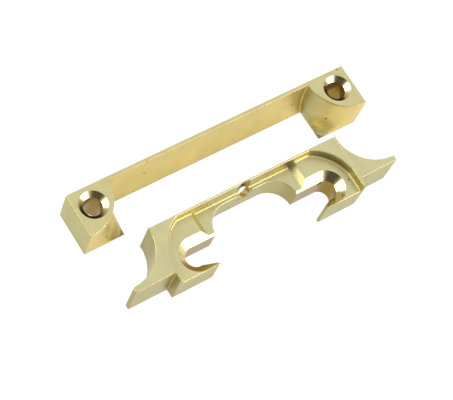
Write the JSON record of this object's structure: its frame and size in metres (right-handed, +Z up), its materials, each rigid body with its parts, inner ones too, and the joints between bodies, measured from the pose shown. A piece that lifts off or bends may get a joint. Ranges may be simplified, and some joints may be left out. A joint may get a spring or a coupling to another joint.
{
  "type": "rebate set for a mortice lock",
  "caption": "Brass filler castings that let a mortice lock or tubular latch work on rebated double doors: a blocked bar and a pocketed, notched filler with curved horns.",
  "frame": {"origin": "middle of the pair's footprint, at the height of the undersides", "axes": "+X along both pieces, which is along the door edge; +Y from the latch side piece towards the striker side piece; +Z up out of the pocket and the screw holes"},
  "size_m": [0.0984, 0.0376, 0.013],
  "materials": {
    "striker_side_brass": "cast, lightly tumbled, unlacquered",
    "latch_side_brass": "cast, lightly tumbled, unlacquered, with machined screw seats"
  },
  "bodies": {
    "striker_side": {"striker_side_piece": "striker_side_brass"},
    "latch_side": {"latch_side_piece": "latch_side_brass"}
  },
  "joints": [
    {"name": "closing_slide", "type": "slide", "parent": "striker_side", "child": "latch_side", "axis": [0, 1, 0], "range_m": [0, 0.0115]}
  ]
}
